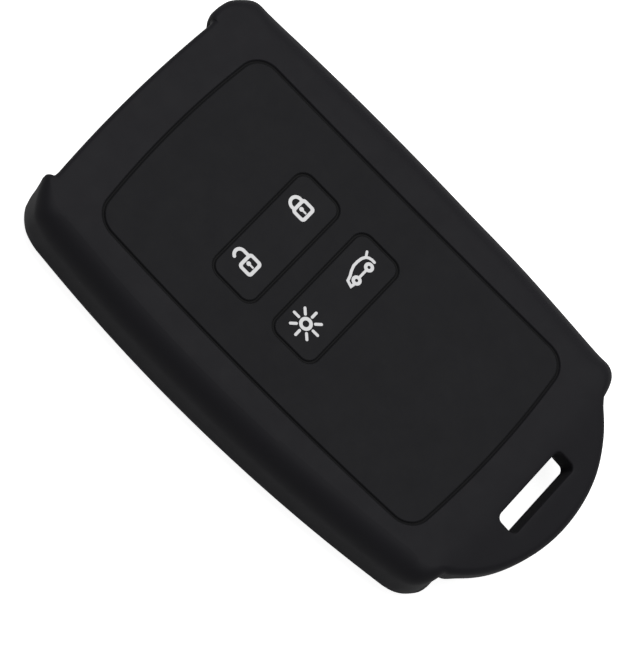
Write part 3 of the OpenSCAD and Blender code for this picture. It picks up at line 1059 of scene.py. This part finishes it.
def rounded(x, y, w, h, r):
    corner_n, side_n = 6, 3
    return round_rect(w / 2, h / 2, r, corner_n, side_n)[0] + [x, y]


def arc(x, y, r, start, end):
    """Points of an arc between two angles in degrees."""
    n = 14
    turn = np.radians(np.linspace(start, end, n))
    return np.stack([x + r * np.cos(turn), y + r * np.sin(turn)], 1)


def sign(name, fills, y, body):
    """A thin raised print: every fill is (outline, holes); what lies in one is inked."""
    sunk, below_face, weld = .05, .006, .0005
    loops = [loop for outline, holes in fills for loop in [outline] + list(holes)]
    corners, faces, middles = triangulate(np.concatenate(loops), loops)
    inked = np.zeros(len(middles), bool)
    for outline, holes in fills:
        inked |= inside_only(middles, outline, holes)
    faces = [f for f, k in zip(faces, inked) if k]
    high = lift(corners + [0, y], T - below_face)
    low = lift(corners + [0, y], KEY_TOP - sunk)
    edges = [(f[i], f[(i + 1) % 3]) for f in faces for i in range(3)]
    known = set(edges)
    n = len(corners)
    skin = Skin()
    skin.add(high, faces)
    skin.add(low, [f[::-1] for f in faces])
    skin.add(np.concatenate([high, low]), [(a, a + n, b + n, b) for a, b in edges if (b, a) not in known])
    obj = skin.make(name, mark_ink, weld=weld)
    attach(obj, body)


def padlock(x, y, hole_x, shackle):
    """A padlock's frame, shackle, keyhole and the slit under it."""
    width, height, outer_r, inner_r = 2.75, 2.3, .7, .25
    hole_y, hole_r, hole_n = y + .33, .4, 20
    slit_top, slit_end, slit_w = hole_y - .03, hole_y - .93, .34
    frame_hole = rounded(x, y, width - INK_W, height - INK_W, inner_r)
    return [
        (rounded(x, y, width + INK_W, height + INK_W, outer_r), [frame_hole]),
        (chain(shackle), []),
        (circle(hole_x, hole_y, hole_r, hole_n), []),
        (chain([(hole_x, slit_top), (hole_x, slit_end)], slit_w), []),
    ]


def closed_lock():
    x, hole_x, foot_y, arc_y, r = 6.85, 6.75, 1.1, 1.65, 1.05
    shackle = np.concatenate([[(x - r, foot_y)], arc(x, arc_y, r, 180, 0), [(x + r, foot_y)]])
    return padlock(x, 0, hole_x, shackle)


def open_lock():
    x, y, shackle_x, foot_y, arc_y, r = -6.83, -.05, -6.85, 1.1, 2.27, 1.0
    shackle = np.concatenate([[(shackle_x + r, foot_y)], arc(shackle_x, arc_y, r, 0, 150)])
    return padlock(x, y, x, shackle)


def shining_light():
    """A ring with eight rays."""
    x, y, outer_r, inner_r = -7.09, .6, 1.17, .57
    ray_from, ray_to, ray_w = 1.62, 2.65, .5
    fills = [(circle(x, y, outer_r), [circle(x, y, inner_r)])]
    for turn in np.radians(np.arange(0, 360, 45)):
        ray = [(x + r * math.cos(turn), y + r * math.sin(turn)) for r in (ray_from, ray_to)]
        fills.append((chain(ray, ray_w), []))
    return fills


def car_with_boot():
    """A car from the side: wheels, body line, sill and the raised boot lid."""
    wheels = ((8.09, -.42), (4.82, -.44))
    wheel_r, hub_r, hub_n, line_w, thin_w = .87, .28, 20, .5, .45
    roof = [(9.41, -.49), (9.43, .06), (9.29, .61), (8.96, 1.09), (8.26, 1.43), (7.33, 1.57),
            (6.34, 1.56), (5.38, 1.24), (4.58, .83), (3.68, .56), (3.34, -.45), (3.93, -.56)]
    sill = [(7.3, -.42), (5.6, -.42)]
    lid = [(9.2, 1.2), (9.84, 1.57)]
    fills = [(circle(x, y, wheel_r), [circle(x, y, hub_r, hub_n)]) for x, y in wheels]
    return fills + [(chain(roof, line_w), []), (chain(sill, thin_w), []), (chain(lid, thin_w), [])]


sign("lock_sign", closed_lock(), PAD_Y[0], "lock_button")
sign("unlock_sign", open_lock(), PAD_Y[0], "unlock_button")
sign("light_sign", shining_light(), PAD_Y[1], "light_button")
sign("boot_sign", car_with_boot(), PAD_Y[1], "boot_button")


# Floor, world, lamp and camera
def floor_material():
    """A light grey, to which a glow is added for the camera only, so that the backdrop shows white."""
    grey, white, glow = (.8, .8, .8, 1), (1, 1, 1, 1), .87
    mat = bpy.data.materials.new("floor_white")
    mat.use_nodes = True
    tree = mat.node_tree
    tree.nodes.clear()
    diffuse = node(tree, "ShaderNodeBsdfDiffuse", {"Color": grey}).outputs[0]
    emission = node(tree, "ShaderNodeEmission", {"Color": white, "Strength": glow}).outputs[0]
    seen = node(tree, "ShaderNodeLightPath", {}).outputs["Is Camera Ray"]
    both = node(tree, "ShaderNodeAddShader", {0: diffuse, 1: emission}).outputs[0]
    surface = node(tree, "ShaderNodeMixShader", {0: seen, 1: diffuse, 2: both}).outputs[0]
    node(tree, "ShaderNodeOutputMaterial", {"Surface": surface})
    return mat


def add_floor():
    half, sunk = 3.0, .00002
    corners = [(-half, -half, 0), (half, -half, 0), (half, half, 0), (-half, half, 0)]
    mesh = bpy.data.meshes.new("floor")
    mesh.from_pydata(corners, [], [(0, 1, 2, 3)])
    mesh.materials.append(floor_material())
    floor = bpy.data.objects.new("floor", mesh)
    bpy.context.scene.collection.objects.link(floor)
    floor.location.z = -sunk


def add_world():
    white, strength = (1, 1, 1, 1), .28
    world = bpy.data.worlds.new("studio")
    bpy.context.scene.world = world
    world.use_nodes = True
    background = world.node_tree.nodes["Background"]
    background.inputs["Color"].default_value = white
    background.inputs["Strength"].default_value = strength


def add_lamp():
    """One soft square lamp, high and towards +X, that points at the middle."""
    place, side, power = (.30, .06, .88), .8, 6.6
    data = bpy.data.lights.new("soft_key", "AREA")
    data.shape = "RECTANGLE"
    data.size = side
    data.size_y = side
    data.energy = power
    lamp = bpy.data.objects.new("soft_key", data)
    bpy.context.scene.collection.objects.link(lamp)
    lamp.location = place
    lamp.rotation_euler = (-Vector(place)).to_track_quat("-Z", "Y").to_euler()


# The camera as fitted to the photo, in degrees, pixels of the photo and millimetres
TURN_Y = 25.786
TURN_X = 2.431
ROLL = 44.861
CENTRE_PX = (307.0, 313.5)
SIZE_PX = (640, 666)
FOCAL_PX = 4300.
DISTANCE = 703.


def rotation(degrees, axis):
    """Matrix of a turn about axis 0, 1 or 2."""
    turn = math.radians(degrees)
    i, j = (axis + 1) % 3, (axis + 2) % 3
    matrix = np.eye(3)
    matrix[[i, j], [i, j]] = math.cos(turn)
    matrix[i, j] = -math.sin(turn)
    matrix[j, i] = math.sin(turn)
    return matrix


def add_camera():
    """The fit's axis isn't in the picture's middle, so the camera turns to look along the middle's ray."""
    sensor, near, far = 36, .01, 20
    view = rotation(ROLL, 2) @ rotation(TURN_X, 0) @ rotation(TURN_Y, 1)
    eye = (view[2] * DISTANCE + [0, PANEL_Y, 0]) * MM
    off_x, off_y = ((size / 2 - centre) / FOCAL_PX for size, centre in zip(SIZE_PX, CENTRE_PX))
    ray = view.T @ np.array([off_x, -off_y, -1.])
    back = -ray / np.linalg.norm(ray)
    right = view[0] - back * (view[0] @ back)
    right /= np.linalg.norm(right)
    up = np.cross(back, right)
    data = bpy.data.cameras.new("camera")
    data.sensor_width = sensor
    data.lens = FOCAL_PX * sensor / max(SIZE_PX)
    data.clip_start = near
    data.clip_end = far
    camera = bpy.data.objects.new("camera", data)
    bpy.context.scene.collection.objects.link(camera)
    camera.matrix_world = Matrix([*np.column_stack([right, up, back, eye]).tolist(), [0, 0, 0, 1]])
    bpy.context.scene.camera = camera


add_floor()
add_world()
add_lamp()
add_camera()
bpy.context.scene.view_settings.view_transform = "Standard"
